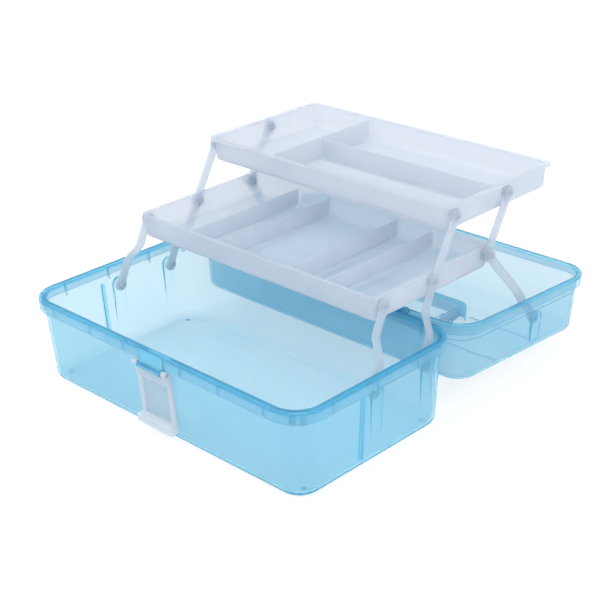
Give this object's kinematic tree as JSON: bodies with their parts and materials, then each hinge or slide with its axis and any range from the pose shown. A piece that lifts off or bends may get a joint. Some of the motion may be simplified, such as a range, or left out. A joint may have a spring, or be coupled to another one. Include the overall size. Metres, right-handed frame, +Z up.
{
  "type": "fold-out art supply box",
  "caption": "Translucent plastic art box, open: lid folded back behind the tub, with two divided trays stepped out over it on arms, a front latch and a folding handle.",
  "frame": {"origin": "middle of the tub's flat underside", "axes": "+X along the box to its right end, +Y to the rear where the lid is hinged, +Z up; the box stands open, and -Y is the front with the latch"},
  "size_m": [0.32, 0.3674, 0.1698],
  "materials": {
    "clear_blue_plastic": "translucent blue polypropylene, glossy",
    "frosted_tray_plastic": "frosted translucent white polypropylene with a lavender cast",
    "milky_white_plastic": "milky white polypropylene, satin"
  },
  "bodies": {
    "tub": {"base_tub": "clear_blue_plastic", "hinge_pin_left": "milky_white_plastic", "hinge_pin_right": "milky_white_plastic", "latch_pin": "milky_white_plastic"},
    "lid": {"lid": "clear_blue_plastic", "lid_link_pin_left": "milky_white_plastic", "lid_link_pin_right": "milky_white_plastic"},
    "latch": {"latch": "milky_white_plastic"},
    "handle": {"handle": "milky_white_plastic"},
    "lower_tray": {"lower_tray": "frosted_tray_plastic", "lower_tray_pin_front_left": "milky_white_plastic", "lower_tray_pin_front_right": "milky_white_plastic", "lower_tray_pin_middle_left": "milky_white_plastic", "lower_tray_pin_middle_right": "milky_white_plastic", "lower_tray_pin_rear_left": "milky_white_plastic", "lower_tray_pin_rear_right": "milky_white_plastic"},
    "upper_tray": {"upper_tray": "frosted_tray_plastic", "upper_tray_pin_front_left": "milky_white_plastic", "upper_tray_pin_front_right": "milky_white_plastic", "upper_tray_pin_rear_left": "milky_white_plastic", "upper_tray_pin_rear_right": "milky_white_plastic"},
    "lid_link_left": {"lid_link_left": "milky_white_plastic"},
    "front_arm_left": {"front_arm_left": "milky_white_plastic", "front_arm_tub_pin_left": "milky_white_plastic"},
    "main_arm_left": {"main_arm_left": "milky_white_plastic", "main_arm_tub_pin_left": "milky_white_plastic"},
    "rear_arm_left": {"rear_arm_left": "milky_white_plastic"},
    "lid_link_right": {"lid_link_right": "milky_white_plastic"},
    "front_arm_right": {"front_arm_right": "milky_white_plastic", "front_arm_tub_pin_right": "milky_white_plastic"},
    "main_arm_right": {"main_arm_right": "milky_white_plastic", "main_arm_tub_pin_right": "milky_white_plastic"},
    "rear_arm_right": {"rear_arm_right": "milky_white_plastic"}
  },
  "joints": [
    {"name": "lid_fold", "type": "hinge", "parent": "tub", "child": "lid", "pos_m": [0, 0.0923, 0.07665], "axis": [1, 0, 0], "range_deg": [0, 182.94]},
    {"name": "lid_link_right_turn", "type": "hinge", "parent": "lid", "child": "lid_link_right", "pos_m": [0, 0.2008, 0.04655], "axis": [1, 0, 0], "range_deg": [0, 36.53]},
    {"name": "lid_link_left_turn", "type": "hinge", "parent": "lid", "child": "lid_link_left", "pos_m": [0, 0.2008, 0.04655], "axis": [1, 0, 0], "range_deg": [0, 36.53]},
    {"name": "lower_tray_turn", "type": "hinge", "parent": "lid_link_right", "child": "lower_tray", "pos_m": [0, 0.15121, 0.11549], "axis": [1, 0, 0], "range_deg": [-219.47, 0]},
    {"name": "front_arm_left_turn", "type": "hinge", "parent": "lower_tray", "child": "front_arm_left", "pos_m": [0, 0.02741, 0.11549], "axis": [1, 0, 0], "range_deg": [0, 95.96]},
    {"name": "main_arm_left_turn", "type": "hinge", "parent": "lower_tray", "child": "main_arm_left", "pos_m": [0, 0.08481, 0.11549], "axis": [1, 0, 0], "range_deg": [0, 95.96]},
    {"name": "rear_arm_left_turn", "type": "hinge", "parent": "lower_tray", "child": "rear_arm_left", "pos_m": [0, 0.15121, 0.11549], "axis": [1, 0, 0], "range_deg": [0, 95.96]},
    {"name": "front_arm_right_turn", "type": "hinge", "parent": "lower_tray", "child": "front_arm_right", "pos_m": [0, 0.02741, 0.11549], "axis": [1, 0, 0], "range_deg": [0, 95.96]},
    {"name": "main_arm_right_turn", "type": "hinge", "parent": "lower_tray", "child": "main_arm_right", "pos_m": [0, 0.08481, 0.11549], "axis": [1, 0, 0], "range_deg": [0, 95.96]},
    {"name": "rear_arm_right_turn", "type": "hinge", "parent": "lower_tray", "child": "rear_arm_right", "pos_m": [0, 0.15121, 0.11549], "axis": [1, 0, 0], "range_deg": [0, 95.96]},
    {"name": "upper_tray_turn", "type": "hinge", "parent": "main_arm_right", "child": "upper_tray", "pos_m": [0, 0.11123, 0.16144], "axis": [1, 0, 0], "range_deg": [-95.96, 0]},
    {"name": "latch_swing", "type": "hinge", "parent": "tub", "child": "latch", "pos_m": [0, -0.0895, 0.062], "axis": [-1, 0, 0], "range_deg": [0, 184]},
    {"name": "handle_turn", "type": "hinge", "parent": "lid", "child": "handle", "pos_m": [0, 0.18209, 0.02543], "axis": [-1, 0, 0], "range_deg": [0, 90]}
  ],
  "couplings": [
    {"joint": "lid_link_right_turn", "follows": "lid_fold", "ratio": 0.19966},
    {"joint": "lid_link_left_turn", "follows": "lid_fold", "ratio": 0.19966},
    {"joint": "lower_tray_turn", "follows": "lid_fold", "ratio": -1.1997},
    {"joint": "front_arm_left_turn", "follows": "lid_fold", "ratio": 0.52449},
    {"joint": "main_arm_left_turn", "follows": "lid_fold", "ratio": 0.52449},
    {"joint": "rear_arm_left_turn", "follows": "lid_fold", "ratio": 0.52449},
    {"joint": "front_arm_right_turn", "follows": "lid_fold", "ratio": 0.52449},
    {"joint": "main_arm_right_turn", "follows": "lid_fold", "ratio": 0.52449},
    {"joint": "rear_arm_right_turn", "follows": "lid_fold", "ratio": 0.52449},
    {"joint": "upper_tray_turn", "follows": "lid_fold", "ratio": -0.52449}
  ]
}
